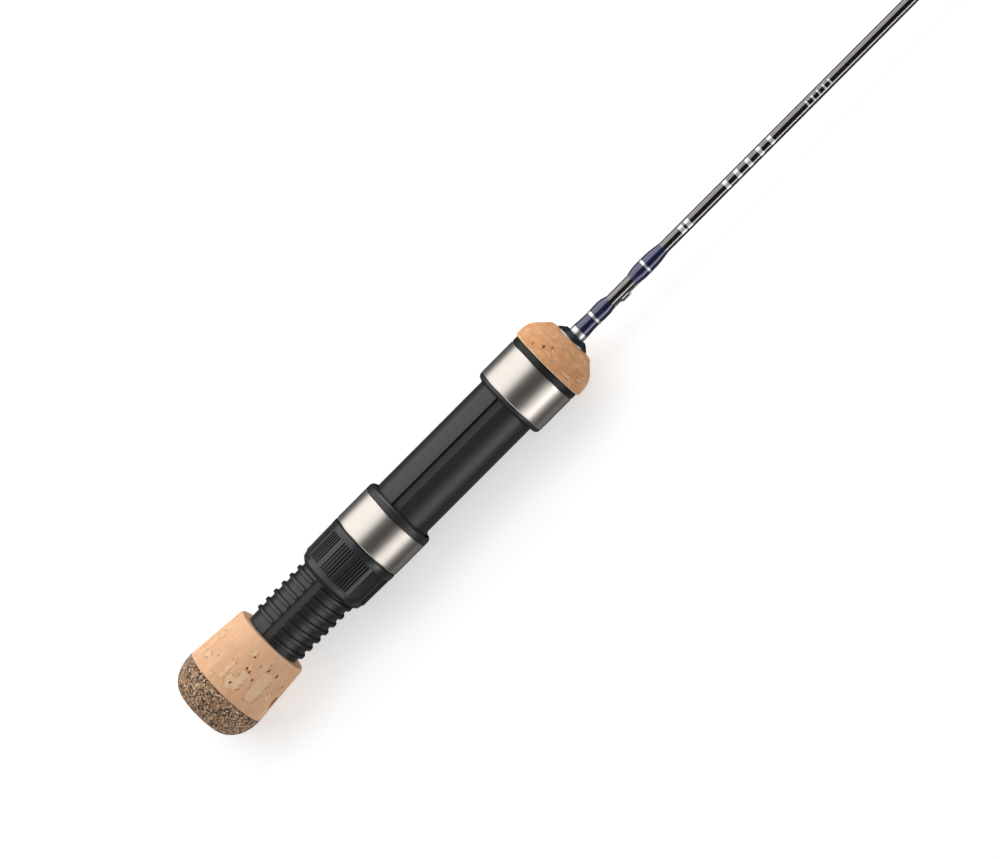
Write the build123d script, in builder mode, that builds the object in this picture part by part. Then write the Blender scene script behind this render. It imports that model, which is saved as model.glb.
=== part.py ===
from build123d import *
import math
import os

# Ice fishing rod, millimetres. The rod lies along +X from the butt (x = 0) to the tip.
# The guides, the hook keeper and the reel foot are on the -Y side, and +Z is up.

# ---- driving dimensions: stations along the rod ----
rod_length = 609.6
cork_start = 10.4
cork_end = 29.4
seat_rear = 24.4
barrel_rear = 76.0
nut_rear = 52.0
nut_front = 67.2
hood_rear = 67.35
hood_front = 82.1
sliding_sleeve = (67.6, 79.4)
fixed_hood_rear = 124.3
fixed_hood_front = 138.5
fixed_sleeve = (125.95, 138.35)
trim_front = 140.5
tenon_front = 143.7
grip_front = 150.3
check_front = 152.3

# ---- driving dimensions: radii ----
butt_r = 13.7
cork_front_r = 12.1
fore_grip_r = 12.35
seat_bore_r = 5.0
thread_root_r = 9.0
barrel_r = 9.8
sleeve_inner_r = 11.15
sleeve_outer_r = 11.65
fixed_sleeve_r = 11.75
lip_r = 11.65
tenon_r = 8.0
blank_r = 1.85

# ---- thread, keyways and the clearances of the moving hood ----
pitch = 3.2
thread_start_angle = 77.1
thread_start_x = 31.24
thread_turns = 13.572
ridge_crest_half = 0.45
flank_slope = 0.4375
ridge_foot_r = 8.88
axial_gap = 0.175
running_gap = 0.15
hood_bore_r = barrel_r + running_gap
keyway_width = 2.6
keyway_floor = 8.4
key_width = 2.2
key_tip = 8.62
keyway_angles = (thread_start_angle, -thread_start_angle)
saddle_start = 82.5
saddle_depth = 0.35
saddle_width = 5.4
pocket_r = 10.9
pocket_half_width = 6.3
pocket_depth = 10.0
overshoot = 0.02
cut_above = 0.3

# ---- blank: outer radius at stations along the rod ----
blank_start = 8.0
blank_end = 598.0
blank_taper = [(190.0, 1.80), (288.0, 1.72), (327.0, 1.51), (416.0, 1.06), (515.0, 0.67), (blank_end, 0.40)]

# ---- guides: name, leg base x, leg run, leg rise above the blank's axis, ring outer radius ----
guides = [
    ("guide_1", 309.6, 9.2, 12.2, 7.8),
    ("guide_2", 431.8, 7.6, 9.8, 6.15),
    ("guide_3", 532.5, 6.9, 7.5, 4.95),
]
guide_tilt = 9.0
guide_foot = 13.0
guide_strip = 0.6
guide_wrap_length = 14.5
ring_frame_wall = 0.75
ring_insert_wall = 0.75
ring_frame_thick = 1.0
ring_insert_thick = 1.5

# ---- tip-top ----
tip_tube_start = 583.0
tip_tube_end = 602.6
tip_tube_r = 0.9
tip_collar_x = 595.7
tip_ring_centre = (rod_length - 1.28, -9.3)
tip_ring_r = 3.55
tip_insert_r = 2.95
tip_bore_r = 2.35
tip_tilt = 14.5
tip_wire_r = 0.35

os.makedirs("parts", exist_ok=True)


def save(piece, name):
    """Label a finished piece and write it as one STEP file."""
    piece.part.label = name
    export_step(piece.part, f"parts/{name}.step")


def blank_radius(x):
    """Outer radius of the blank at x, straight between its stations."""
    stations = [(blank_start, blank_r), *blank_taper]
    for (x0, r0), (x1, r1) in zip(stations, stations[1:]):
        if x <= x1:
            return r0 + (r1 - r0) * (x - x0) / (x1 - x0)
    return stations[-1][1]


def across_plane(angle, height):
    """Plane square to the rod's radius at an angle from +Y towards +Z, that high above the axis."""
    out = Vector(0, math.cos(math.radians(angle)), math.sin(math.radians(angle)))
    return Plane(origin=out * height, x_dir=(1, 0, 0), z_dir=out)


def thread_ridge(start_x, turns, foot_r, crest_r, side_gap=0.0):
    """Right-hand helical ridge from foot_r out to crest_r, its flanks moved out by side_gap."""
    foot = ridge_crest_half + flank_slope * (barrel_r - foot_r) + side_gap
    crest = ridge_crest_half + flank_slope * (barrel_r - crest_r) + side_gap
    height = crest_r - foot_r
    with BuildPart() as ridge:
        with BuildLine():
            path = Helix(pitch, pitch * turns, foot_r, center=(start_x, 0, 0), direction=(1, 0, 0))
        radial = (path @ 0) - Vector(start_x, 0, 0)
        with BuildSketch(Plane(origin=path @ 0, x_dir=radial, z_dir=path % 0)):
            with BuildLine():
                Polyline((0, -foot), (height, -crest), (height, crest), (0, foot), close=True)
            make_face()
        sweep(path=path, is_frenet=True)
    helix_angle = math.degrees(math.atan2(radial.Z, radial.Y))
    return ridge.part.rotate(Axis.X, thread_start_angle - helix_angle)


def pocket_space(start_x, length, floor_r):
    """Room for an end of the reel foot: a sector of a tube on the -Y side, from floor_r to pocket_r."""
    low = math.sqrt(floor_r**2 - pocket_half_width**2)
    high = math.sqrt(pocket_r**2 - pocket_half_width**2)
    with BuildPart() as pocket:
        with BuildSketch(Plane.YZ.offset(start_x)):
            with BuildLine():
                ThreePointArc((-low, -pocket_half_width), (-floor_r, 0), (-low, pocket_half_width))
                Line((-low, pocket_half_width), (-high, pocket_half_width))
                ThreePointArc((-high, pocket_half_width), (-pocket_r, 0), (-high, -pocket_half_width))
                Line((-high, -pocket_half_width), (-low, -pocket_half_width))
            make_face()
        extrude(amount=length)
    return pocket.part


# ---------------------------------------------------------------- rear grip
butt_round = 9.6
butt_flat_r = 5.75
with BuildPart() as butt_cap:
    with BuildSketch(Plane.XY):
        with BuildLine():
            arc_centre = (butt_round, butt_flat_r)
            edge = EllipticalCenterArc(arc_centre, butt_round, butt_r - butt_flat_r, 90, arc_size=90)
            Polyline(
                edge @ 1,
                (0, 0),
                (blank_start, 0),
                (blank_start, blank_r),
                (cork_start, blank_r),
                (cork_start, butt_r),
                (butt_round, butt_r),
            )
        make_face()
    revolve(axis=Axis.X)
save(butt_cap, "butt_cap")

cork_rim_round = 0.7
with BuildPart() as cork_butt:
    with BuildSketch(Plane.XY) as cork_outline:
        with BuildLine():
            Polyline(
                (cork_start, blank_r),
                (cork_start, butt_r),
                (cork_end, cork_front_r),
                (cork_end, thread_root_r),
                (seat_rear, thread_root_r),
                (seat_rear, blank_r),
                close=True,
            )
        make_face()
        rim = cork_outline.vertices().sort_by_distance((cork_end, cork_front_r, 0))[0]
        fillet(rim, radius=cork_rim_round)
    revolve(axis=Axis.X)
save(cork_butt, "cork_butt")

# ---------------------------------------------------------------- reel seat
seat_thread = thread_ridge(thread_start_x, thread_turns, ridge_foot_r, barrel_r)

hood_round = 1.3
barrel_chamfer = 0.8
sleeve_seat = fixed_sleeve[0] - 0.1
hood_pocket_floor = barrel_r - 0.1
with BuildPart() as reel_seat_body:
    with BuildSketch(Plane.XY):
        with BuildLine():
            lip_edge = EllipticalCenterArc(
                (fixed_hood_rear + hood_round, barrel_r), hood_round, lip_r - barrel_r, 90, arc_size=90
            )
            Polyline(
                lip_edge @ 1,
                (barrel_rear + barrel_chamfer, barrel_r),
                (barrel_rear, thread_root_r),
                (seat_rear, thread_root_r),
                (seat_rear, seat_bore_r),
                (tenon_front, seat_bore_r),
                (tenon_front, tenon_r),
                (fixed_hood_front, tenon_r),
                (fixed_hood_front, sleeve_inner_r),
                (sleeve_seat, sleeve_inner_r),
                (sleeve_seat, lip_r),
                lip_edge @ 0,
            )
        make_face()
    revolve(axis=Axis.X)
    # reel-foot pocket under the hood, open to the rear on the -Y side
    add(pocket_space(fixed_hood_rear, pocket_depth, hood_pocket_floor), mode=Mode.SUBTRACT)
    add(seat_thread)
    # keyways along the barrel
    for angle in keyway_angles:
        with BuildSketch(across_plane(angle, keyway_floor)):
            with Locations(((seat_rear + fixed_hood_rear) / 2, 0)):
                Rectangle(fixed_hood_rear - seat_rear + overshoot, keyway_width)
        extrude(amount=barrel_r - keyway_floor + cut_above, mode=Mode.SUBTRACT)
    # flat that the reel foot sits on, between the two hoods
    with BuildSketch(Plane.XZ.offset(barrel_r - saddle_depth)):
        with Locations(((saddle_start + fixed_hood_rear) / 2, 0)):
            Rectangle(fixed_hood_rear - saddle_start, saddle_width)
    extrude(amount=saddle_depth + overshoot, mode=Mode.SUBTRACT)
save(reel_seat_body, "reel_seat_body")

for name, start, end in [
    ("seat_arbor_rear", 26.0, 46.0),
    ("seat_arbor_middle", 74.0, 94.0),
    ("seat_arbor_front", 120.0, 142.0),
]:
    with BuildPart() as arbor:
        with BuildSketch(Plane.YZ.offset(start)):
            Circle(seat_bore_r)
            Circle(blank_r, mode=Mode.SUBTRACT)
        extrude(amount=end - start)
    save(arbor, name)

with BuildPart() as fixed_hood_sleeve:
    with BuildSketch(Plane.YZ.offset(fixed_sleeve[0])):
        Circle(fixed_sleeve_r)
        Circle(sleeve_inner_r, mode=Mode.SUBTRACT)
    extrude(amount=fixed_sleeve[1] - fixed_sleeve[0])
save(fixed_hood_sleeve, "fixed_hood_sleeve")

trim_chamfer = 0.3
with BuildPart() as trim_ring:
    with BuildSketch(Plane.XY):
        with BuildLine():
            Polyline(
                (fixed_hood_front, tenon_r),
                (fixed_hood_front, fixed_sleeve_r - trim_chamfer),
                (fixed_hood_front + trim_chamfer, fixed_sleeve_r),
                (trim_front, fixed_sleeve_r),
                (trim_front, tenon_r),
                close=True,
            )
        make_face()
    revolve(axis=Axis.X)
save(trim_ring, "trim_ring")

# ---------------------------------------------------------------- moving hood and its nut
neck_r = 10.4
neck_lip_r = 10.7
relief_r = 10.05
neck_front = 70.5
nut_minor_r = 9.2
nut_major_r = 10.0
nut_rear_rim_r = 9.35
nut_cone = [(53.2, 10.75), (54.8, 11.1)]
nut_grip = [(54.8, 11.4), (65.4, 11.55)]
nut_collar_r = 11.65
nut_end_wall = 0.8
snap_ramp = 0.3
snap_length = 0.6
snap_rounding = 0.1
snap_gap = 0.2
nut_groove = thread_ridge(thread_start_x + pitch * 6, 5.6, 8.9, nut_major_r, side_gap=axial_gap)

with BuildPart() as lock_nut:
    with BuildSketch(Plane.XY):
        with BuildLine():
            Polyline(
                (nut_rear, nut_minor_r),
                (nut_rear, nut_rear_rim_r),
                *nut_cone,
                *nut_grip,
                (nut_grip[1][0] + 0.1, nut_collar_r),
                (nut_front, nut_collar_r),
                (nut_front, neck_r),
                (neck_front - snap_length - snap_ramp, neck_r),
                (neck_front - snap_length, neck_lip_r),
                (neck_front, neck_lip_r - snap_rounding),
                (neck_front, relief_r),
                (nut_front - nut_end_wall, relief_r),
                (nut_front - nut_end_wall, nut_minor_r),
                close=True,
            )
        make_face()
    revolve(axis=Axis.X)
    # grip: twelve groups of five grooves with a plain land between groups
    groove_pitch = 4.6
    groove_span = (55.2, 65.1)
    with BuildSketch(Plane.YZ.offset(groove_span[0])):
        for group in range(12):
            for groove in range(5):
                turn = 15 + 30 * group + groove_pitch * (groove - 2)
                with PolarLocations(nut_grip[1][1], 1, start_angle=turn):
                    Rectangle(0.8, 0.46)
    extrude(amount=groove_span[1] - groove_span[0], mode=Mode.SUBTRACT)
    add(nut_groove, mode=Mode.SUBTRACT)
save(lock_nut, "lock_nut")

front_round = 1.55
recess_end = neck_front + running_gap
sleeve_stop = sliding_sleeve[1] + 0.05
mouth_r = hood_bore_r + 0.2
liner_pocket_floor = hood_bore_r - 0.5
key_middle = 76.2
key_length = 9.0
key_root = 10.3
with BuildPart() as sliding_hood:
    with BuildSketch(Plane.XY):
        with BuildLine():
            mouth = EllipticalCenterArc(
                (hood_front - front_round, mouth_r), front_round, lip_r - mouth_r, 0, arc_size=90
            )
            Polyline(
                mouth @ 1,
                (sleeve_stop, lip_r),
                (sleeve_stop, sleeve_inner_r),
                (hood_rear, sleeve_inner_r),
                (hood_rear, neck_r + running_gap),
                (neck_front - snap_length - snap_gap - snap_ramp, neck_r + running_gap),
                (neck_front - snap_length - snap_gap, neck_lip_r + running_gap),
                (recess_end, neck_lip_r + running_gap),
                (recess_end, hood_bore_r),
                (hood_front, hood_bore_r),
                mouth @ 0,
            )
        make_face()
    revolve(axis=Axis.X)
    # reel-foot pocket, open to the front on the -Y side
    add(pocket_space(hood_front - pocket_depth, pocket_depth + 1, liner_pocket_floor), mode=Mode.SUBTRACT)
    # keys that ride in the keyways
    for angle in keyway_angles:
        with BuildSketch(across_plane(angle, key_tip)):
            with Locations((key_middle, 0)):
                Rectangle(key_length, key_width)
        extrude(amount=key_root - key_tip)
save(sliding_hood, "sliding_hood")

with BuildPart() as sliding_hood_sleeve:
    with BuildSketch(Plane.YZ.offset(sliding_sleeve[0])):
        Circle(sleeve_outer_r)
        Circle(sleeve_inner_r, mode=Mode.SUBTRACT)
    extrude(amount=sliding_sleeve[1] - sliding_sleeve[0])
save(sliding_hood_sleeve, "sliding_hood_sleeve")

# ---------------------------------------------------------------- fore grip and winding check
grip_shoulder = 145.3
grip_nose_r = 7.35
with BuildPart() as fore_grip:
    with BuildSketch(Plane.XY) as grip_outline:
        with BuildLine():
            Polyline(
                (trim_front, tenon_r),
                (trim_front, fore_grip_r),
                (grip_shoulder, fore_grip_r),
                (grip_front, grip_nose_r),
                (grip_front, blank_r),
                (tenon_front, blank_r),
                (tenon_front, tenon_r),
                close=True,
            )
        make_face()
        for corner, round_off in [
            ((grip_shoulder, fore_grip_r, 0), 6.5),
            ((grip_front, grip_nose_r, 0), 1.8),
            ((trim_front, fore_grip_r, 0), 0.4),
        ]:
            fillet(grip_outline.vertices().sort_by_distance(corner)[0], radius=round_off)
    revolve(axis=Axis.X)
save(fore_grip, "fore_grip")

base_r = 2.66
check_r = 5.4
check_nose_r = 3.6
rim_thick = 0.25
check_rear = grip_front + rim_thick
with BuildPart() as winding_check_rim:
    with BuildSketch(Plane.XY):
        with BuildLine():
            Polyline(
                (grip_front, base_r),
                (grip_front, check_r),
                (check_rear, check_r),
                (check_rear, base_r),
                close=True,
            )
        make_face()
    revolve(axis=Axis.X)
save(winding_check_rim, "winding_check_rim")

with BuildPart() as winding_check:
    with BuildSketch(Plane.XY):
        with BuildLine():
            Polyline(
                (check_rear, base_r),
                (check_rear, check_r),
                (check_rear + 0.25, check_r),
                (check_front, check_nose_r),
                (check_front, base_r),
                close=True,
            )
        make_face()
    revolve(axis=Axis.X)
save(winding_check, "winding_check")

# ---------------------------------------------------------------- blank
with BuildPart() as blank:
    with BuildSketch(Plane.XY):
        with BuildLine():
            Polyline((blank_start, 0), (blank_start, blank_r), *blank_taper, (blank_end, 0), close=True)
        make_face()
    revolve(axis=Axis.X)
save(blank, "blank")

# ---------------------------------------------------------------- hook keeper and its wraps
keeper_angle = -145.0
keeper_wire_r = 0.35
keeper_lay = blank_radius(170) + keeper_wire_r + 0.02
keeper_span = (168.0, 171.8)
keeper_feet = (163.4, 176.4)
keeper_plane = Plane(
    origin=(0, 0, 0),
    x_dir=(1, 0, 0),
    z_dir=Vector(1, 0, 0).cross(across_plane(keeper_angle, 0).z_dir),
)
with BuildPart() as hook_keeper:
    with BuildLine(keeper_plane):
        middle = sum(keeper_span) / 2
        crown = keeper_lay + 1.15
        keeper_path = FilletPolyline(
            (keeper_feet[0], keeper_lay),
            (keeper_span[0], keeper_lay),
            (keeper_span[0] + 0.5, crown),
            (keeper_span[1] - 0.5, crown),
            (keeper_span[1], keeper_lay),
            (keeper_feet[1], keeper_lay),
            radius=0.6,
        )
    with BuildSketch(Plane(origin=keeper_path @ 0, z_dir=keeper_path % 0)):
        Circle(keeper_wire_r)
    sweep(path=keeper_path)
save(hook_keeper, "hook_keeper")

band_half = 0.45
band_depth = 0.15
rear_wrap_start = 154.1


def wrap_with_band(name, outline, band_x, band_r):
    """Thread wrap turned on the blank with a groove for its metallic band, and the band itself."""
    with BuildPart() as wrap:
        with BuildSketch(Plane.XY):
            with BuildLine():
                over = Spline(*outline)
                Polyline(over @ 1, (outline[-1][0], 1.0), (outline[0][0], 1.0), over @ 0)
            make_face()
        revolve(axis=Axis.X)
        with BuildSketch(Plane.YZ.offset(band_x - band_half)):
            Circle(band_r + 1)
            Circle(band_r - band_depth, mode=Mode.SUBTRACT)
        extrude(amount=2 * band_half, mode=Mode.SUBTRACT)
        add(blank.part, mode=Mode.SUBTRACT)
        add(hook_keeper.part, mode=Mode.SUBTRACT)
    save(wrap, f"keeper_wrap_{name}")
    with BuildPart() as band:
        with BuildSketch(Plane.YZ.offset(band_x - band_half)):
            Circle(band_r)
            Circle(band_r - band_depth, mode=Mode.SUBTRACT)
        extrude(amount=2 * band_half)
    save(band, f"keeper_band_{name}")


wrap_with_band(
    "rear",
    [(rear_wrap_start, 2.62), (157.0, 2.42), (159.5, 2.38), (161.6, 2.50), (164.0, 2.42), (165.9, 2.1)],
    159.5,
    2.45,
)
wrap_with_band(
    "front",
    [(174.5, 2.05), (177.0, 2.38), (180.0, 2.45), (183.0, 2.38), (187.0, 1.95)],
    180.0,
    2.52,
)
with BuildPart() as keeper_band_base:
    with BuildSketch(Plane.YZ.offset(grip_front)):
        Circle(base_r)
        Circle(blank_r, mode=Mode.SUBTRACT)
    extrude(amount=rear_wrap_start - grip_front)
save(keeper_band_base, "keeper_band_base")


# ---------------------------------------------------------------- guides
def make_ring(centre, tilt, outer, inner, thick, round_off):
    """Ring at a centre in the XY plane, its far side leaning to the tip by tilt degrees."""
    normal = (math.cos(math.radians(tilt)), math.sin(math.radians(tilt)), 0)
    with BuildPart() as ring:
        with BuildSketch(Plane(origin=(*centre, 0), x_dir=(0, 0, 1), z_dir=normal)):
            Circle(outer)
            Circle(inner, mode=Mode.SUBTRACT)
        extrude(amount=thick / 2, both=True)
        fillet(ring.edges().filter_by(GeomType.CIRCLE), radius=round_off)
    return ring


for name, base_x, run, rise, ring_r in guides:
    lean = math.radians(guide_tilt)
    outward = Vector(math.sin(lean), -math.cos(lean))
    foot_tip = (base_x - guide_foot, 0.05 - blank_radius(base_x - guide_foot))
    foot_heel = (base_x - 0.5, -blank_radius(base_x) - guide_strip / 2)
    leg_top = Vector(base_x + run, -rise)
    centre = leg_top + outward * ring_r
    insert_r = ring_r - ring_frame_wall
    hoop = make_ring((centre.X, centre.Y), guide_tilt, ring_r, insert_r, ring_frame_thick, 0.3)
    insert = make_ring(
        (centre.X, centre.Y), guide_tilt, insert_r, insert_r - ring_insert_wall, ring_insert_thick, 0.3
    )
    save(insert, f"{name}_ring")

    with BuildPart() as frame:
        # foot and leg are one bent strip
        with BuildSketch(Plane.XY):
            with BuildLine() as strip:
                foot = Line(foot_tip, foot_heel)
                leg_middle = (base_x + run * 0.42, -rise * 0.47)
                leg_end = leg_top + outward * 0.4
                Spline(foot @ 1, leg_middle, leg_end, tangents=[(1, -0.25), (0.62, -1)])
            trace(strip.edges(), line_width=guide_strip)
        extrude(amount=1.3, both=True)
        # its width: pointed foot, waisted leg, wide where it meets the ring
        half_widths = [(-guide_foot, 0.35), (-2, 0.85), (run * 0.6, 0.65), (run + 1, 1.2)]
        edge = [(base_x + along, half) for along, half in half_widths]
        with BuildSketch(Plane.XZ.offset(rise + 2)):
            with BuildLine():
                Polyline(*edge, *[(x, -half) for x, half in reversed(edge)], close=True)
            make_face()
        extrude(amount=-(rise + 4), mode=Mode.INTERSECT)
        add(blank.part, mode=Mode.SUBTRACT)
        add(hoop.part)
    save(frame, f"{name}_frame")

    with BuildPart() as guide_wrap:
        start_x = base_x - guide_wrap_length
        end_x = base_x - 0.4
        full_r = blank_radius(base_x) + 0.8
        with BuildSketch(Plane.XY):
            with BuildLine():
                start_r = blank_radius(start_x) + 0.15
                over = Spline((start_x, start_r), (base_x - 9, full_r - 0.15), (end_x, full_r))
                Polyline(over @ 1, (end_x, 0), (start_x, 0), over @ 0)
            make_face()
        revolve(axis=Axis.X)
        add(blank.part, mode=Mode.SUBTRACT)
        add(frame.part, mode=Mode.SUBTRACT)
    save(guide_wrap, f"{name}_wrap")

# ---------------------------------------------------------------- tip-top
tip_hoop = make_ring(tip_ring_centre, tip_tilt, tip_ring_r, tip_insert_r, 0.9, 0.2)
tip_ring = make_ring(tip_ring_centre, tip_tilt, tip_insert_r, tip_bore_r, 1.2, 0.2)
save(tip_ring, "tip_ring")

with BuildPart() as tip_frame:
    add(tip_hoop.part)
    lean = math.radians(tip_tilt)
    ring_x, ring_y = tip_ring_centre
    hoop_middle_r = (tip_ring_r + tip_insert_r) / 2
    # tail: out of the tube, round a bend and up to the foot of the ring
    tail_foot = (ring_x - hoop_middle_r * math.sin(lean), ring_y + hoop_middle_r * math.cos(lean))
    bend_x = ring_x + ring_y * math.tan(lean)
    with BuildLine():
        tail_path = FilletPolyline((tip_tube_end - 3, 0), (bend_x, 0), tail_foot, radius=1.6)
    with BuildSketch(Plane(origin=tail_path @ 0, z_dir=tail_path % 0)):
        Circle(tip_wire_r)
    sweep(path=tail_path)
    # brace: a loop behind the tube, with an arm along each side to the ring
    loop_r = tip_tube_r + tip_wire_r + 0.02
    arm_drop = 1.6
    arm_y = ring_y + arm_drop * math.cos(lean)
    arm_x = ring_x - arm_drop * math.sin(lean)
    arm_z = math.sqrt(hoop_middle_r**2 - arm_drop**2)
    with BuildLine(Plane.YZ.offset(tip_collar_x)):
        loop_path = ThreePointArc((0, loop_r), (loop_r, 0), (0, -loop_r))
    with BuildSketch(Plane(origin=loop_path @ 0, z_dir=loop_path % 0)):
        Circle(tip_wire_r)
    sweep(path=loop_path)
    for side in (1, -1):
        arm_start = (tip_collar_x, 0, side * loop_r)
        arm = Vector(arm_x, arm_y, side * arm_z) - Vector(*arm_start)
        with Locations(arm_start):
            Sphere(tip_wire_r)
        with BuildSketch(Plane(origin=arm_start, z_dir=arm)):
            Circle(tip_wire_r)
        extrude(amount=arm.length)
save(tip_frame, "tip_frame")

with BuildPart() as tip_tube:
    with BuildSketch(Plane.XY):
        with BuildLine():
            Polyline(
                (tip_tube_start, 0.3),
                (tip_tube_start, 0.8),
                (tip_tube_start + 3, tip_tube_r),
                (tip_tube_end, tip_tube_r),
                (tip_tube_end, 0.3),
                close=True,
            )
        make_face()
    revolve(axis=Axis.X)
    add(blank.part, mode=Mode.SUBTRACT)
    add(tip_frame.part, mode=Mode.SUBTRACT)
save(tip_tube, "tip_tube")

with BuildPart() as tip_wrap:
    with BuildSketch(Plane.XY):
        with BuildLine():
            over = Spline((576.6, 0.62), (582.0, 1.05), (587.2, 1.12))
            Polyline(over @ 1, (587.2, 0.2), (576.6, 0.2), over @ 0)
        make_face()
    revolve(axis=Axis.X)
    add(blank.part, mode=Mode.SUBTRACT)
    add(tip_tube.part, mode=Mode.SUBTRACT)
save(tip_wrap, "tip_wrap")
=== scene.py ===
import math
import random

import bmesh
import bpy
import numpy as np
from mathutils import Matrix, Vector, noise


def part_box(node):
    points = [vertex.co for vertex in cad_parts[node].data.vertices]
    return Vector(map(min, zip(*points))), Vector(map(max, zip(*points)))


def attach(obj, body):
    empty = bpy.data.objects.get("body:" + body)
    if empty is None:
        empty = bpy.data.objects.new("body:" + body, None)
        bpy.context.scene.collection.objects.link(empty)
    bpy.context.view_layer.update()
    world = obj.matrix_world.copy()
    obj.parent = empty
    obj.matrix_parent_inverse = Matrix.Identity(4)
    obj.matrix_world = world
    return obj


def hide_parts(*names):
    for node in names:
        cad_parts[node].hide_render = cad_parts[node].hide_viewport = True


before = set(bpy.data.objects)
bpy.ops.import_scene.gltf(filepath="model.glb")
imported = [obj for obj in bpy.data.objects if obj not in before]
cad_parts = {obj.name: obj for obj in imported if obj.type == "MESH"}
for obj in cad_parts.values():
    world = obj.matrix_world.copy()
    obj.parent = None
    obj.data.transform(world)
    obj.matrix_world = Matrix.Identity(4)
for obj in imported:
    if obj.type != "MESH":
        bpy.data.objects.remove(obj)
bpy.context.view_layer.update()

# The looks of the ice fishing rod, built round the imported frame. Lengths are millimetres unless a
# name says otherwise. The rod lies along +X from the butt; an angle round it runs from +Y to +Z.
MM = 0.001
TURN = 2 * math.pi
scene = bpy.context.scene


def box(node):
    """Lowest and highest corner of a CAD node, in millimetres."""
    low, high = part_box(node)
    return low / MM, high / MM


def span(node):
    """Rear end, front end and outer radius of a turned CAD node, in millimetres."""
    low, high = box(node)
    return low.x, high.x, high.z


def added(name, data):
    """A new object in the scene."""
    obj = bpy.data.objects.new(name, data)
    scene.collection.objects.link(obj)
    return obj


# ---------------- materials
class Look:
    """A material being made: its Principled shader and short ways to add nodes to it."""

    def __init__(self, name, **settings):
        self.material = bpy.data.materials.new(name)
        self.material.use_nodes = True
        self.tree = self.material.node_tree
        self.shader = self.tree.nodes["Principled BSDF"]
        for key, value in settings.items():
            self.set(key, value)

    def set(self, key, value):
        """Gives a socket of the shader a constant or a link. Underscores in the key are spaces."""
        self.feed(self.shader.inputs[key.replace("_", " ")], value)

    def feed(self, socket, value):
        if isinstance(value, bpy.types.NodeSocket):
            self.tree.links.new(value, socket)
        elif isinstance(value, tuple) and len(value) == 3 and len(socket.default_value) == 4:
            socket.default_value = (*value, 1.0)
        else:
            socket.default_value = value

    def node(self, kind, inputs, **options):
        node = self.tree.nodes.new("ShaderNode" + kind)
        for key, value in options.items():
            setattr(node, key, value)
        for key, value in inputs.items():
            self.feed(node.inputs[key], value)
        return node

    def place(self, stretch=(1.0, 1.0, 1.0)):
        """Rest position in millimetres, stretched along each axis."""
        coords = self.node("TexCoord", {})
        scale = tuple(1.0 / (MM * length) for length in stretch)
        return self.node("Mapping", {"Vector": coords.outputs["Object"], "Scale": scale}).outputs[0]

    def noise(self, size, stretch=(1.0, 1.0, 1.0), detail=3.0, rough=0.55, distortion=0.0):
        """Noise with lumps of about size millimetres."""
        inputs = {"Vector": self.place(stretch), "Scale": 1.0 / size, "Detail": detail}
        inputs |= {"Roughness": rough, "Distortion": distortion}
        return self.node("TexNoise", inputs).outputs[0]

    def cells(self, place, size, output, feature="F1"):
        inputs = {"Vector": place, "Scale": 1.0 / size}
        return self.node("TexVoronoi", inputs, feature=feature).outputs[output]

    def ramp(self, value, *stops, interpolation="LINEAR"):
        """Colour from a value: each stop is (position, grey or rgb)."""
        node = self.node("ValToRGB", {"Fac": value})
        ramp = node.color_ramp
        ramp.interpolation = interpolation
        while len(ramp.elements) < len(stops):
            ramp.elements.new(1.0)
        for element, (position, colour) in zip(ramp.elements, stops):
            element.position = position
            rgb = colour if isinstance(colour, tuple) else (colour, colour, colour)
            element.color = (*rgb, 1.0)
        return node.outputs[0]

    def mix(self, amount, first, second):
        node = self.node("Mix", {0: amount}, data_type="RGBA")
        self.feed(node.inputs[6], first)
        self.feed(node.inputs[7], second)
        return node.outputs[2]

    def fade(self, value, low, high, first, second):
        """Colour that goes from first to second as the value goes from low to high."""
        return self.mix(self.ramp(value, (low, 0.0), (high, 1.0)), first, second)

    def math(self, operation, first, second):
        return self.node("Math", {0: first, 1: second}, operation=operation).outputs[0]

    def between(self, value, low, high):
        """Runs from low to high as the value runs from 0 to 1."""
        return self.node("MapRange", {"Value": value, "To Min": low, "To Max": high}).outputs[0]

    def attribute(self, name):
        return self.node("Attribute", {}, attribute_name=name).outputs["Fac"]

    def bump(self, height, depth, strength=1.0):
        """Bump whose full height is depth millimetres."""
        inputs = {"Height": height, "Distance": depth * MM, "Strength": strength}
        self.set("Normal", self.node("Bump", inputs).outputs[0])


def cork_look(name, dark, light, pale, pit, grain_length, blush):
    """Natural cork: soft tone changes, fine grain, pale patches, dark pits and a red-brown streak."""
    look = Look(name, Roughness=0.72, Specular_IOR_Level=0.25)
    grain = (grain_length, 1.0, 1.0)
    colour = look.fade(look.noise(3.2, grain, detail=4.0, distortion=0.6), 0.32, 0.68, dark, light)
    broad = look.noise(6.0, grain, distortion=1.2)
    colour = look.mix(look.ramp(broad, (0.46, 0.0), (0.62, blush)), colour, (0.60, 0.24, 0.09))
    streaks = look.noise(0.55, (grain_length * 2.0, 0.7, 0.7), detail=4.0, rough=0.7)
    colour = look.mix(look.ramp(streaks, (0.3, 0.6), (0.62, 0.0)), colour, dark)
    freckle = look.noise(0.42, detail=2.0)
    colour = look.mix(look.ramp(freckle, (0.64, 0.0), (0.76, 0.4)), colour, (0.42, 0.21, 0.11))
    faint = look.ramp(look.noise(0.5, grain), (0.35, 0.45), (0.62, 1.0))
    colour = look.mix(look.math("MULTIPLY", look.attribute("pale"), faint), colour, pale)
    for mark, tint in (("rim", (0.42, 0.20, 0.09)), ("streak", (0.16, 0.045, 0.028)), ("pit", pit)):
        colour = look.mix(look.attribute(mark), colour, tint)
    look.set("Base Color", colour)
    look.bump(look.noise(0.28, detail=4.0, rough=0.65), 0.09, 0.55)
    return look.material


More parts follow.
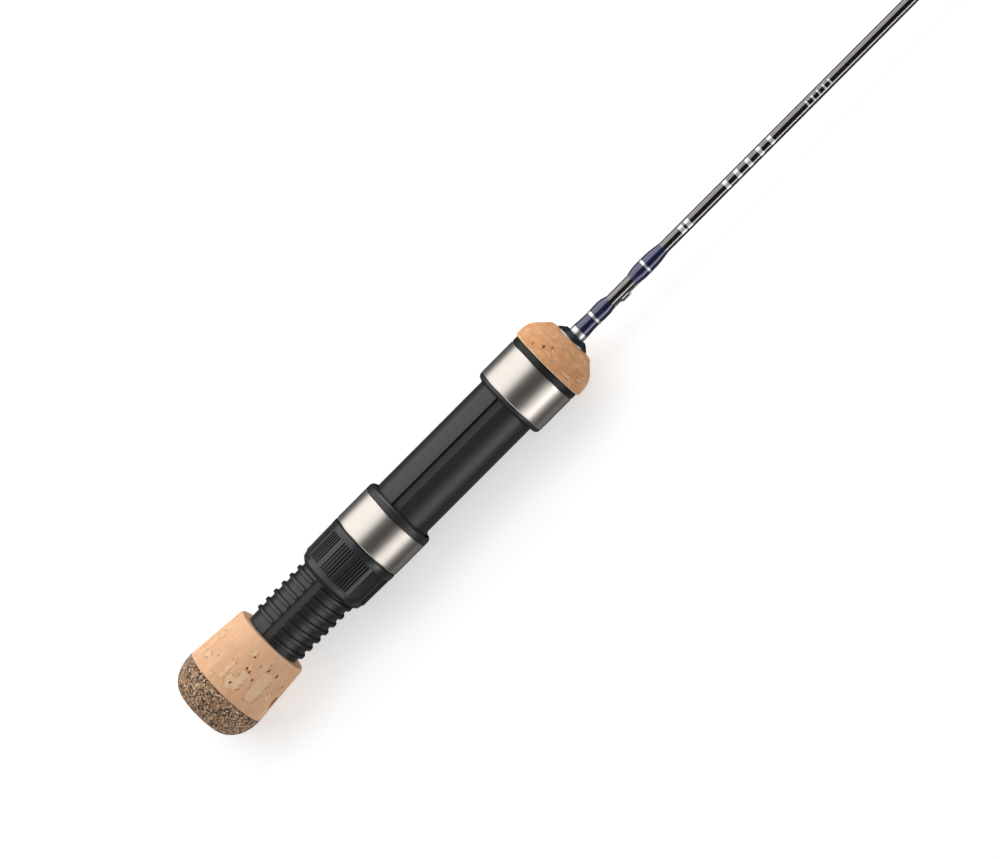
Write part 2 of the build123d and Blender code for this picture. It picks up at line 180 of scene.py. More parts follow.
def burl_look(name):
    """Burl cork: crumbs of black, brown, tan and cream pressed together."""
    look = Look(name, Roughness=0.78, Specular_IOR_Level=0.25)
    crumb = 0.50
    place = look.place()
    warp = look.node("TexNoise", {"Vector": place, "Scale": 1.3, "Detail": 3.0}).outputs[1]
    warped = look.node("MixRGB", {"Fac": 0.24, "Color1": place, "Color2": warp}, blend_type="ADD").outputs[0]
    tone = look.node("SeparateColor", {"Color": look.cells(warped, crumb, "Color")}).outputs[0]
    crumbs = [(0.0, (0.055, 0.038, 0.028)), (0.16, (0.19, 0.10, 0.055)), (0.28, (0.30, 0.22, 0.15))]
    crumbs += [(0.42, (0.43, 0.22, 0.11)), (0.56, (0.58, 0.31, 0.16)), (0.70, (0.53, 0.38, 0.25))]
    crumbs += [(0.82, (0.71, 0.48, 0.31)), (0.94, (0.86, 0.68, 0.50))]
    colour = look.ramp(tone, *crumbs, interpolation="CONSTANT")
    edge = look.cells(warped, crumb, "Distance", feature="DISTANCE_TO_EDGE")
    colour = look.mix(look.ramp(edge, (0.02, 0.8), (0.15, 0.0)), colour, (0.035, 0.02, 0.013))
    grit = look.noise(0.22)
    colour = look.mix(look.ramp(grit, (0.57, 0.0), (0.69, 0.55)), colour, (0.05, 0.028, 0.018))
    colour = look.mix(look.attribute("pit"), colour, (0.02, 0.012, 0.008))
    look.set("Base Color", colour)
    look.bump(look.mix(0.5, edge, grit), 0.16, 0.6)
    return look.material


def plastic_look(name, colour, roughness, grain=0.35, gloss=0.5, grooved=False):
    """Moulded black plastic: a fine satin texture, colour and gloss a little uneven, grooves dull and
    darkened with painted shade.
    """
    look = Look(name, Specular_IOR_Level=gloss)
    cloud = look.noise(4.0, detail=5.0)
    dark, light = (tuple(share * part for part in colour) for share in (0.9, 1.1))
    shade = look.mix(cloud, dark, light)
    rough = look.between(cloud, roughness - 0.06, roughness + 0.06)
    if grooved:
        # painted shade: where the groove attribute is set, the colour goes near black and the surface gets
        # rougher
        groove = look.attribute("groove")
        shade = look.mix(groove, shade, (0.010, 0.010, 0.010))
        rough = look.math("MAXIMUM", rough, look.math("MULTIPLY", groove, 0.45))
    look.set("Base Color", shade)
    look.set("Roughness", rough)
    look.bump(look.noise(0.09, detail=2.0), 0.012, grain)
    return look.material


def brushed_look(name, colour, roughness):
    """Steel brushed round and round the rod."""
    look = Look(name, Metallic=1.0, Anisotropic=0.3)
    look.set("Tangent", look.node("Tangent", {}, direction_type="RADIAL", axis="X").outputs[0])
    lines = look.noise(1.0, (0.03, 3.0, 3.0), detail=5.0, rough=0.7)
    look.set("Roughness", look.between(lines, roughness - 0.05, roughness + 0.07))
    tint = tuple(0.86 * part for part in colour)
    look.set("Base Color", look.fade(lines, 0.35, 0.65, tint, colour))
    look.bump(lines, 0.006, 0.5)
    return look.material


def polished_look(name, colour, roughness, haze=0.3):
    """Polished metal, with faint wear marks."""
    look = Look(name, Metallic=1.0)
    marks = look.noise(0.5, (3.0, 1.0, 1.0), detail=4.0, rough=0.7)
    look.set("Roughness", look.between(marks, roughness * 0.6, roughness * 1.6))
    tint = tuple((1.0 - haze) * part for part in colour)
    look.set("Base Color", look.fade(marks, 0.3, 0.7, tint, colour))
    return look.material


def blank_look(name):
    """Graphite blank: a charcoal base with fine sparkle under a clear gloss coat."""
    look = Look(name, Metallic=1.0, Coat_Weight=1.0, Coat_Roughness=0.04, Coat_IOR=1.5)
    flake = look.cells(look.place((1.6, 1.0, 1.0)), 0.11, "Color")
    sparkle = look.node("SeparateColor", {"Color": flake}).outputs[0]
    cloth = look.noise(0.6, (6.0, 1.0, 1.0))
    base = look.mix(cloth, (0.145, 0.132, 0.132), (0.185, 0.170, 0.168))
    glint = look.ramp(sparkle, (0.72, 0.0), (0.98, 0.5))
    look.set("Base Color", look.mix(glint, base, (0.30, 0.27, 0.265)))
    look.set("Roughness", look.between(sparkle, 0.17, 0.26))
    return look.material


def thread_look(name, deep, lit, pitch, metallic, coat_ior):
    """Fine thread laid turn against turn round the rod, under clear epoxy, with painted shade and highlight
    across each turn.
    """
    look = Look(name, Metallic=metallic, Coat_Weight=1.0, Coat_Roughness=0.03, Coat_IOR=coat_ior)
    # the bands of a wave texture of scale 1 are TURN / 20 apart
    inputs = {"Vector": look.place(), "Scale": TURN / 20.0 / pitch}
    turns = look.node("TexWave", inputs, bands_direction="X", wave_profile="SIN").outputs[1]
    fibre = look.noise(0.12, (1.0, 4.0, 4.0), rough=0.7)
    # painted shade and highlight: the colour rises and falls from deep to lit across every turn of thread,
    # with a little fibre tone mixed in
    look.set("Base Color", look.fade(look.mix(0.35, turns, fibre), 0.15, 0.75, deep, lit))
    look.set("Roughness", look.between(fibre, 0.32, 0.5))
    look.bump(turns, 0.02, 0.35)
    return look.material


def print_look(name):
    """Silver print on the blank."""
    look = Look(name, Metallic=0.55, Roughness=0.35, Coat_Weight=1.0, Coat_Roughness=0.05)
    worn = look.noise(0.18, detail=4.0)
    look.set("Base Color", look.fade(worn, 0.35, 0.55, (0.42, 0.42, 0.43), (0.82, 0.82, 0.83)))
    return look.material


def foam_look(name):
    """Arbor foam: pale, open cells."""
    look = Look(name, Roughness=0.85)
    pores = look.cells(look.place(), 0.5, "Distance")
    look.set("Base Color", look.fade(pores, 0.1, 0.5, (0.34, 0.31, 0.26), (0.66, 0.62, 0.54)))
    look.bump(pores, 0.1, 0.6)
    return look.material


def floor_look(name):
    """Pale matt floor with a little light of its own."""
    look = Look(name, Roughness=0.9, Specular_IOR_Level=0.1)
    look.set("Emission Color", (1.0, 1.0, 1.0))
    look.set("Emission Strength", 0.46)
    look.set("Base Color", look.mix(look.noise(120.0), (0.75, 0.75, 0.75), (0.77, 0.77, 0.77)))
    return look.material


# each cork: dark, light and pale tones, pits, length of its grain, and how much it reddens
butt_tones = (0.64, 0.365, 0.21), (0.79, 0.48, 0.29), (0.78, 0.57, 0.37), (0.11, 0.035, 0.022)
grip_tones = (0.54, 0.26, 0.115), (0.78, 0.45, 0.23), (0.82, 0.60, 0.38), (0.22, 0.10, 0.05)
butt_cork = cork_look("natural_cork", *butt_tones, 2.4, 0.12)
grip_cork = cork_look("grip_cork", *grip_tones, 0.4, 0.55)
burl = burl_look("burl_cork")
seat_black = plastic_look("seat_plastic", (0.016, 0.016, 0.0165), 0.39)
# the nut's grip grooves get painted shade from the groove attribute
nut_black = plastic_look("nut_plastic", (0.022, 0.022, 0.024), 0.29, grain=0.12, grooved=True)
trim_black = plastic_look("trim_plastic", (0.010, 0.010, 0.011), 0.42, gloss=0.3)
check_black = plastic_look("check_plastic", (0.014, 0.019, 0.026), 0.24, grain=0.03, gloss=0.6)
sleeve_steel = brushed_look("brushed_sleeve", (0.65, 0.60, 0.55), 0.31)
rim_steel = polished_look("polished_rim", (0.90, 0.88, 0.85), 0.30, haze=0.1)
guide_steel = polished_look("guide_steel", (0.40, 0.39, 0.39), 0.16)
ring_steel = polished_look("ring_insert", (0.66, 0.65, 0.66), 0.09, haze=0.15)
tip_steel = polished_look("tip_steel", (0.62, 0.61, 0.60), 0.14)
graphite = blank_look("graphite_blank")
# thread tones: shaded and lit copies of each colour, for the painted shade and highlight on the turns
navy_tones = (0.007, 0.009, 0.040), (0.025, 0.030, 0.108)
silver_tones = (0.42, 0.42, 0.44), (0.86, 0.86, 0.88)
navy = thread_look("navy_thread", *navy_tones, 0.25, metallic=0.7, coat_ior=1.75)
silver = thread_look("silver_thread", *silver_tones, 0.30, metallic=1.0, coat_ior=1.5)
silver_print = print_look("silver_print")
foam = foam_look("arbor_foam")
pale_floor = floor_look("pale_floor")


# ---------------- shapes
def around(count):
    """Evenly spaced angles round the rod."""
    return np.arange(count) * TURN / count


def row(x, radius, angles):
    """Points round the rod's axis. x and radius are numbers, or one value for each angle."""
    points = np.empty((len(angles), 3))
    points[:, 0] = x
    points[:, 1] = radius * np.cos(angles)
    points[:, 2] = radius * np.sin(angles)
    return points


def rings(path, angles, start=0.0):
    """Rows of points round the rod's axis, one for each (x, radius), with x counted from start."""
    return [row(start + x, radius, angles) for x, radius in path]


def turned(path, count):
    """Rows of points from turning a closed path of (x, radius) round the rod's axis."""
    return np.array(rings(path, around(count)))


def unit(vectors):
    """The same directions at length 1."""
    return vectors / np.linalg.norm(vectors, axis=-1, keepdims=True)


def loft(rows, closed=True):
    """A shell round and round through rows of points, its last row joined to its first if closed."""
    rows = np.asarray(rows, float)
    index = np.arange(rows.shape[0] * rows.shape[1]).reshape(rows.shape[:2])
    if closed:
        index = np.vstack([index, index[:1]])
    index = np.hstack([index, index[:, :1]])
    corners = [index[:-1, :-1], index[:-1, 1:], index[1:, 1:], index[1:, :-1]]
    return rows.reshape(-1, 3), np.stack(corners, axis=-1).reshape(-1, 4)


def outline(corners, step, arc_step=0.15):
    """Points along a closed path of (x, r) or (x, r, round) corners, no further apart than step."""
    path = []
    for i, corner in enumerate(corners):
        here = np.array(corner[:2], float)
        if len(corner) == 2:
            path.append(here)
            continue
        radius = corner[2]
        neighbours = corners[i - 1], corners[(i + 1) % len(corners)]
        ways = [unit(np.array(other[:2]) - here) for other in neighbours]
        half = math.acos(np.clip(ways[0] @ ways[1], -1, 1)) / 2
        centre = here + unit(ways[0] + ways[1]) * radius / math.sin(half)
        first, last = (here + way * radius / math.tan(half) - centre for way in ways)
        turn = math.pi - 2 * half
        for share in np.linspace(0, 1, max(3, math.ceil(turn * radius / arc_step)) + 1):
            arc = first * math.sin((1 - share) * turn) + last * math.sin(share * turn)
            path.append(centre + arc / math.sin(turn))
    return divided(path, step, closed=True)


def divided(path, step, closed=False):
    """The path with points added so that none are further apart than step."""
    ends = path[1:] + path[:1] if closed else path[1:]
    dense = []
    for here, there in zip(path, ends):
        here, there = np.array(here, float), np.array(there, float)
        parts = max(1, math.ceil(np.linalg.norm(there - here) / step))
        dense += [here + (there - here) * k / parts for k in range(parts)]
    return dense if closed else dense + [np.array(path[-1], float)]


def quarter(centre, along, out, start, end, count):
    """Part of an ellipse in (x, r) from a start to an end angle in degrees, 0 being along +x."""
    angles = np.radians(np.linspace(start, end, count))
    return [(centre[0] + along * math.cos(a), centre[1] + out * math.sin(a)) for a in angles]


def piece(name, shells, material, node=None, body="rod", fields=None, crease=60.0):
    """A finished object from closed shells in millimetres: it rides on a body and replaces a CAD node."""
    vertices, faces, start = [], [], 0
    for points, quads in shells:
        vertices.append(points * MM)
        faces.append(quads + start)
        start += len(points)
    mesh = bpy.data.meshes.new(name)
    mesh.from_pydata(np.vstack(vertices).tolist(), [], np.vstack(faces).tolist())
    for key, values in (fields or {}).items():
        layer = mesh.attributes.new(key, "FLOAT", "POINT")
        layer.data.foreach_set("value", np.asarray(values, np.float32).ravel())
    shape = bmesh.new()
    shape.from_mesh(mesh)
    bmesh.ops.remove_doubles(shape, verts=shape.verts, dist=2e-7)
    bmesh.ops.dissolve_degenerate(shape, edges=shape.edges, dist=1e-7)
    bmesh.ops.recalc_face_normals(shape, faces=shape.faces)
    shape.to_mesh(mesh)
    shape.free()
    mesh.shade_smooth()
    mesh.set_sharp_from_angle(angle=math.radians(crease))
    mesh.materials.append(material)
    obj = added(name, mesh)
    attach(obj, body)
    if node:
        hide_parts(node)


def turned_piece(name, corners, steps, count, material, node, body="rod", crease=35.0):
    """A piece turned from a closed outline. Steps are the outline's longest step and its arcs'."""
    rows = turned(outline(corners, *steps), count)
    piece(name, [loft(rows)], material, node, body, crease=crease)


def noise_field(points, size, seed):
    """Smooth noise from about -1 to 1 at each point, its lumps about size millimetres."""
    shift = Vector((17.3 * seed, -9.1 * seed, 4.7 * seed))
    flat = points.reshape(-1, 3) / size
    values = [noise.noise(Vector(p) + shift) for p in flat.tolist()]
    return np.array(values).reshape(points.shape[:-1])


def out_of(rows):
    """Unit vectors out of a turned shell, away from the middle of its section."""
    along = np.gradient(rows, axis=0)
    sideways = np.roll(rows, -1, axis=1) - np.roll(rows, 1, axis=1)
    normal = np.cross(along, sideways)
    normal /= np.maximum(np.linalg.norm(normal, axis=2, keepdims=True), 1e-9)
    outside = (normal[:, :, 1:] * rows[:, :, 1:]).sum(axis=2)
    return normal if np.median(outside) > 0 else -normal


# ---------------- cork
def mark_field(distance, angles, radius, marks, ragged, edge, square=3):
    """How deep inside one of the marks each point is, 0 to 1 over an edge of so many millimetres.

    A mark is (distance along, degrees round, half length, half width). Ragged moves its outline, in
    millimetres, and a larger square makes it less oval.
    """
    field = np.zeros(ragged.shape)
    for along, degrees, half_length, half_width in marks:
        turn = np.angle(np.exp(1j * (angles - math.radians(degrees))))
        a = np.abs((distance - along) / half_length)[:, None]
        b = np.abs(radius[:, None] * turn[None, :] / half_width)
        inside = (1.0 - (a**square + b**square) ** (1 / square)) * min(half_length, half_width) + ragged
        field = np.maximum(field, np.clip(inside / edge, 0, 1))
    return field


def scattered(draw, count, first, last, length, width):
    """Random marks between two distances along the cork, with size ranges (smallest, largest)."""
    return [
        (draw.uniform(first, last), draw.uniform(0, 360), draw.uniform(*length), draw.uniform(*width))
        for _ in range(count)
    ]


def moved(marks, start):
    """Marks counted from start, with their distances along the cork."""
    return [(start + along, *rest) for along, *rest in marks]


def cork_piece(name, path, count, shown, cream, material, pits, pale, streaks, node):
    """A turned cork with pits cut into it, its outside marked over the range of x shown.

    Cream is the range of x of a pale line at one end: a painted highlight along that edge.
    """
    rows = turned(path, count)
    xs, radii = np.array(path).T
    steps = np.hypot(np.diff(xs, prepend=xs[0]), np.diff(radii, prepend=radii[0]))
    distance = xs[0] + np.cumsum(steps)
    angles = around(count)
    rough = noise_field(rows, 0.55, 1) + 0.5 * noise_field(rows, 0.25, 2)
    lumps = noise_field(rows, 2.2, 3)
    rim_wide = 0.26
    halo = [(s, d, length + rim_wide, width + rim_wide) for s, d, length, width in pale]
    place = (distance, angles, radii)
    pit = mark_field(*place, pits, 0.20 * rough, 0.14)
    patch = mark_field(*place, pale, 0.24 * rough, 0.12, square=5)
    around_patch = mark_field(*place, halo, 0.24 * rough, 0.10, square=5)
    streak = mark_field(*place, streaks, 0.25 * rough, 0.3)
    visible = ((xs > shown[0]) & (xs < shown[1]))[:, None] * np.ones(count)
    depth = 0.40 * pit + 0.025 * rough + 0.05 * lumps + 0.05 * streak
    rows = rows - out_of(rows) * (depth * visible)[:, :, None]
    dashes = np.clip(3.0 * noise_field(rows, 0.8, 4) + 0.1, 0, 1)
    rim = np.clip(around_patch - patch, 0, 1) * dashes
    # painted highlight: a pale line round the cork's outer face at one end, standing in for the light its
    # edge catches
    painted_rim_highlight = ((xs > cream[0]) & (xs < cream[1]) & (radii > 0.7 * radii.max()))[:, None]
    # pale holds both the cork's real pale patches and the painted rim highlight
    fields = {"pit": pit, "pale": np.maximum(0.75 * patch, painted_rim_highlight), "rim": rim, "streak": streak}
    piece(name, [loft(rows)], material, node, fields=fields, crease=35)


def make_butt_cap():
    """Crumbly dome at the butt end, with a flat face."""
    start, end, radius = span("butt_cap")
    face_r = 0.5 * radius
    shoulder = end - 0.8
    path = [(start, 0.0), (start, face_r * 0.5)]
    path += quarter((shoulder, face_r), shoulder - start, radius - face_r, 180, 90, 70)
    path += [(end - 0.06, radius), (end, radius - 0.12), (end, 0.0)]
    path = divided(path, 0.3)
    rows = turned(path, 300)
    crumbs = noise_field(rows, 0.7, 5)
    grit = noise_field(rows, 0.3, 6)
    xs = np.array(path)[:, 0]
    by_cork = np.clip((xs - end + 0.9) / 0.8, 0, 1)[:, None]
    pit = np.clip((grit + 0.6 * crumbs - 0.55 + 0.5 * by_cork) / 0.2, 0, 1)
    visible = (xs < end - 0.1)[:, None]
    depth = (0.05 * crumbs + 0.03 * grit + 0.16 * pit) * visible
    rows = rows - out_of(rows) * depth[:, :, None]
    rows[0] = (start, 0, 0)
    rows[-1] = (end, 0, 0)
    piece("butt_cap_burl", [loft(rows, closed=False)], burl, "butt_cap", fields={"pit": pit}, crease=35)


def make_butt_cork():
    """Tapered cork between the cap and the seat."""
    start, end, radius = span("cork_butt")
    seat_rear = span("reel_seat_body")[0]
    front_r = radius - 1.6
    seat_r, inner_r = 9.04, 1.9
    corners = [(start, radius - 0.1), (start + 0.1, radius), (end, front_r, 0.7), (end, seat_r)]
    corners += [(seat_rear, seat_r), (seat_rear, inner_r), (start, inner_r)]
    draw = random.Random(7)
    pits = [(10.2, 93, 0.42, 0.38), (9.9, 98, 0.50, 0.30), (13.9, 116, 0.45, 0.30), (14.0, 131, 0.55, 0.35)]
    pits += [(14.1, 90, 0.35, 0.35), (4.0, 90, 0.60, 0.30), (4.2, 103, 0.40, 0.28)]
    pits = moved(pits, start) + scattered(draw, 18, start + 1.5, end - 1.5, (0.18, 0.5), (0.15, 0.34))
    pale = [(9.0, 28, 6.6, 0.45), (2.6, 66, 1.3, 0.3), (6.4, 96, 3.5, 1.2), (8.2, 121, 5.0, 1.9)]
    pale += [(6.3, 75, 3.8, 0.55), (4.8, 38, 1.6, 0.5), (14.5, 86, 1.2, 0.7)]
    pale = moved(pale, start) + scattered(draw, 14, start + 2.0, end - 2.0, (1.0, 3.4), (0.3, 0.9))
    streaks = moved([(7.2, 164, 2.3, 0.9), (11.0, 250, 1.8, 0.6), (5.0, 318, 1.5, 0.5)], start)
    # cream: where the painted highlight line runs along the front rim
    shown, cream = (start, end + 1), (end - 0.26, end - 0.02)
    path = outline(corners, 0.2)
    cork_piece("butt_cork", path, 420, shown, cream, butt_cork, pits, pale, streaks, "cork_butt")


def make_fore_grip():
    """Short domed cork in front of the seat."""
    start, end, radius = span("fore_grip")
    tenon_end = span("reel_seat_body")[1]
    tenon_r, inner_r, nose_r = 8.05, 1.9, 7.35
    corners = [(start, tenon_r), (start, radius, 0.35), (start + 4.8, radius, 6.5), (end, nose_r, 1.8)]
    corners += [(end, inner_r), (tenon_end, inner_r), (tenon_end, tenon_r)]
    draw = random.Random(11)
    rear = start + 4.3
    first, last = rear + 1.0, rear + 12.0
    pits = moved([(3.6, 70, 0.55, 0.36), (1.7, 55, 0.32, 0.26), (5.0, 79, 0.34, 0.26)], rear)
    pits += scattered(draw, 9, first, last, (0.15, 0.3), (0.15, 0.3))
    pale = scattered(draw, 16, first, last, (0.15, 0.4), (0.5, 2.0))
    streaks = moved([(1.2, 60, 0.25, 0.9)], rear)
    # cream: where the painted highlight line runs along the rear edge, by the trim ring
    shown, cream = (start + 0.05, end + 1), (start - 0.1, start + 0.3)
    path = outline(corners, 0.2)
    cork_piece("fore_grip_cork", path, 400, shown, cream, grip_cork, pits, pale, streaks, "fore_grip")


# ---------------- reel seat
THREAD_PITCH = 3.2
THREAD_START = (31.24, math.radians(77.1))
THREAD_TURNS = 13.572
CREST_HALF = 0.45
FLANK_SLOPE = 0.4375
ROOT_R = 9.0
BARREL_R = 9.8
KEYWAY_ANGLES = (math.radians(77.1), math.radians(-77.1))
KEYWAY_HALF = 1.3
KEYWAY_FLOOR = 8.4
KEYWAY_BEVEL = 0.14
POCKET_HALF = 6.3
POCKET_R = 10.9
POCKET_DEPTH = 10.0
SADDLE_Y = -9.45
# half widths of the cuts, as angles at the barrel's radius
KEYWAY_TURN = math.asin(KEYWAY_HALF / BARREL_R)
POCKET_TURN = math.asin(POCKET_HALF / BARREL_R)


def seat_angles():
    """Angles of the seat's section at the barrel radius, with two points at each corner of its cuts."""
    cuts = [(centre, KEYWAY_TURN) for centre in KEYWAY_ANGLES] + [(math.pi, POCKET_TURN)]
    bevel = KEYWAY_TURN + KEYWAY_BEVEL / BARREL_R
    corners = [centre + side * half for centre, half in cuts for side in (-1, -1, 1, 1)]
    corners += [centre + side * bevel for centre in KEYWAY_ANGLES for side in (-1, 1)]
    corners = sorted(a % TURN for a in corners)
    angles = []
    for here, there in zip(corners, corners[1:] + [corners[0] + TURN]):
        parts = max(1, round((there - here) / math.radians(2.0)))
        angles += [here + (there - here) * k / parts for k in range(parts)]
    return np.array(angles)


def pocketed(points, inside, across, floor_r, depth_x):
    """A row with its points inside the reel-foot pocket put at the pocket's radius and depth."""
    points[inside, 0] = depth_x
    points[inside, 1] = -np.sqrt(floor_r**2 - across[inside] ** 2)
    points[inside, 2] = across[inside]
    return points


def make_seat():
    """Barrel, thread, keyways, saddle flat and fixed hood in one moulding."""
    rear, front, _ = span("reel_seat_body")
    sleeve_rear, sleeve_front, _ = span("fixed_hood_sleeve")
    bore_r, tenon_r, seat_r, lip_r = 5.0, 8.0, 11.15, 11.65
    hood = sleeve_rear - 1.65
    lip_round = 1.3
    thread_end, barrel_start, saddle_start = 76.0, 76.8, 82.5
    angles = seat_angles()
    tiny = 1e-6
    same = np.abs(np.diff(angles, append=angles[0] + TURN)) < tiny

    def cut(centre, half):
        """Points in a cut, the points of its corners that lie outside it, and the turn from its centre."""
        turn = np.angle(np.exp(1j * (angles - centre)))
        edge = (np.abs(turn + half) < tiny) & same | (np.abs(turn - half) < tiny) & ~same
        return (np.abs(turn) < half + tiny) & ~edge, edge, turn

    in_pocket, _, _ = cut(math.pi, POCKET_TURN)
    pocket_across = BARREL_R * np.sin(angles)
    in_key, key_edge = np.zeros((2, len(angles)), bool)
    key_floor = np.zeros((len(angles), 2))
    for centre in KEYWAY_ANGLES:
        inside, edge, turn = cut(centre, KEYWAY_TURN)
        out = np.array([math.cos(centre), math.sin(centre)])
        side = np.array([-math.sin(centre), math.cos(centre)])
        floor = KEYWAY_FLOOR * out + np.outer(BARREL_R * np.sin(turn), side)
        key_floor[inside] = floor[inside]
        in_key |= inside
        key_edge |= edge

    def keyed(x, radius, saddle=False):
        """A section with the keyways in it, and the flat where the reel's foot lies."""
        points = row(x, radius - KEYWAY_BEVEL * key_edge, angles)
        points[in_key, 1:] = key_floor[in_key]
        if saddle:
            points[:, 1] = np.maximum(points[:, 1], SADDLE_Y)
        return points

    def pocket(x, radius, floor_r, depth_x):
        return pocketed(row(x, radius, angles), in_pocket, pocket_across, floor_r, depth_x)

    lip = quarter((hood + lip_round, BARREL_R), lip_round, lip_r - BARREL_R, 180, 90, 12)
    above = (POCKET_R - BARREL_R) / (lip_r - BARREL_R)
    mouth_x = hood + lip_round - lip_round * math.sqrt(1 - above**2)
    saddle_wall = row(hood, BARREL_R, angles)
    saddle_wall[:, 1] = np.maximum(saddle_wall[:, 1], SADDLE_Y)
    rows = [row(rear, bore_r, angles), keyed(rear, ROOT_R - 0.15), keyed(rear + 0.15, ROOT_R)]
    rows += [keyed(thread_end, ROOT_R), keyed(barrel_start, BARREL_R), keyed(saddle_start, BARREL_R)]
    rows += [keyed(saddle_start, BARREL_R, saddle=True), keyed(hood, BARREL_R, saddle=True), saddle_wall]
    rows.append(pocket(hood, BARREL_R, BARREL_R - 0.1, hood))
    rows += [pocket(hood, BARREL_R, r, hood + POCKET_DEPTH) for r in (BARREL_R - 0.1, POCKET_R)]
    for x, radius in lip:
        rows.append(pocket(x, radius, POCKET_R, mouth_x) if radius < POCKET_R else row(x, radius, angles))
    rows += rings([(sleeve_rear - 0.1, lip_r), (sleeve_rear - 0.1, seat_r)], angles)
    rows += rings([(sleeve_front + 0.15, seat_r), (sleeve_front + 0.15, tenon_r)], angles)
    rows += rings([(front, tenon_r), (front, bore_r)], angles)
    piece("reel_seat", [loft(rows)] + thread_ridges(), seat_black, "reel_seat_body", crease=30)


def thread_ridges():
    """The thread as ridges with rounded crests, each ending at the walls of the keyways."""
    foot_r = ROOT_R - 0.06
    half_foot = CREST_HALF + FLANK_SLOPE * (BARREL_R - foot_r)
    half_in = CREST_HALF + FLANK_SLOPE * 0.14
    side = [(half_foot, foot_r), (half_in, BARREL_R - 0.14), (CREST_HALF + 0.01, BARREL_R - 0.04)]
    side.append((CREST_HALF - 0.12, BARREL_R))
    section = [(-dx, r) for dx, r in side] + side[::-1]
    first_x, first = THREAD_START
    between_keys = TURN - KEYWAY_ANGLES[0] * 2
    wall = KEYWAY_TURN + 0.012
    ridges = []
    for turn in range(math.ceil(THREAD_TURNS)):
        here = first + TURN * turn
        for start, stop in ((wall, between_keys - wall), (between_keys + wall, TURN - wall)):
            start, stop = here + start, min(here + stop, first + TURN * THREAD_TURNS)
            if stop - start < 0.1:
                continue
            rows = []
            for angle in np.linspace(start, stop, max(4, math.ceil((stop - start) / math.radians(3.0))) + 1):
                x = first_x + THREAD_PITCH * (angle - first) / TURN
                rows.append([(x + dx, r * math.cos(angle), r * math.sin(angle)) for dx, r in section])
            ridges.append(loft(capped(rows), closed=False))
    return ridges


def capped(rows):
    """The rows with a last row at each end drawn together to close it."""
    rows = np.asarray(rows, float)
    first, last = (np.full_like(end, end.mean(axis=0)) for end in (rows[0], rows[-1]))
    return [first, *rows, last]


def make_sleeve(name, node, body):
    """Brushed shell round a hood: its rear edge bevelled, its front one rounded."""
    start, end, radius = span(node)
    inner = radius - 0.5
    corners = [(start, inner), (start, radius - 0.17, 0.06), (start + 0.32, radius, 0.08)]
    corners += [(end, radius, 0.28), (end, inner)]
    turned_piece(name, corners, (1.2, 0.05), 256, sleeve_steel, node, body)


def make_trim_ring():
    start, end, radius = span("trim_ring")
    bore = 8.05
    corners = [(start, bore), (start, radius, 0.3), (end, radius, 0.25), (end, bore)]
    turned_piece("trim_ring_black", corners, (0.6, 0.06), 220, trim_black, "trim_ring")


# ---------------- moving hood and lock nut
def make_sliding_hood():
    """Liner of the moving hood: neck recess, rolled front lip, pocket for the reel foot, two keys."""
    rear, front, lip_r = span("sliding_hood")
    sleeve_front = span("sliding_hood_sleeve")[1]
    under_r, neck_gap, lip_gap = 11.15, 10.55, 10.85
    bore_r = BARREL_R + 0.15
    mouth_r = bore_r + 0.2
    recess_end = rear + 3.3
    front_round = 1.55
    pocket_start = front - POCKET_DEPTH
    mouth_x = front - 0.35
    sector = math.asin(POCKET_HALF / bore_r)
    first, last = math.pi - sector, math.pi + sector
    floor_count = 42
    angles = np.concatenate([np.linspace(first, last, floor_count), np.linspace(last, first + TURN, 142)])
    in_pocket = np.arange(len(angles)) < floor_count

    def pocket(x, radius, depth_x):
        return pocketed(row(x, radius, angles), in_pocket, bore_r * np.sin(angles), POCKET_R, depth_x)

    rows = rings([(rear, neck_gap), (rear, under_r)], angles)
    shoulder = [(0.05, under_r), (0.05, lip_r - 0.1), (0.13, lip_r)]
    rows += rings(shoulder, angles, sleeve_front)
    for x, r in quarter((front - front_round, mouth_r), front_round, lip_r - mouth_r, 90, 0, 14):
        rows.append(row(x, r, angles) if r > POCKET_R + 0.02 else pocket(x, r, mouth_x))
    rows += [pocket(front - 0.1, bore_r + 0.02, mouth_x), pocket(front - 0.3, bore_r, mouth_x)]
    rows.append(pocket(pocket_start, bore_r, pocket_start))
    rows += rings([(pocket_start, bore_r), (recess_end, bore_r)], angles)
    rows += rings([(0.0, lip_gap), (-0.65, lip_gap), (-0.95, neck_gap)], angles, recess_end)
    key_start, key_length = rear + 4.35, 9.0
    keys = [key_block(centre, key_start, key_start + key_length, bore_r + 0.2) for centre in KEYWAY_ANGLES]
    shells = [loft(rows)] + keys
    piece("sliding_hood_liner", shells, seat_black, "sliding_hood", body="sliding_hood", crease=30)


def key_block(angle, start, end, high):
    """A long block under the hood, along the rod, with its edges broken."""
    out = np.array([0, math.cos(angle), math.sin(angle)])
    side = np.array([0, -math.sin(angle), math.cos(angle)])
    half, low, edge = 1.1, 8.62, 0.1
    section = [(-half, high), (-half, low + edge), (-half + edge, low)]
    section += [(-across, height) for across, height in section[::-1]]
    rows = [
        [np.array([x, 0, 0]) + side * across + out * height for across, height in section]
        for x in (start, end)
    ]
    return loft(capped(rows), closed=False)


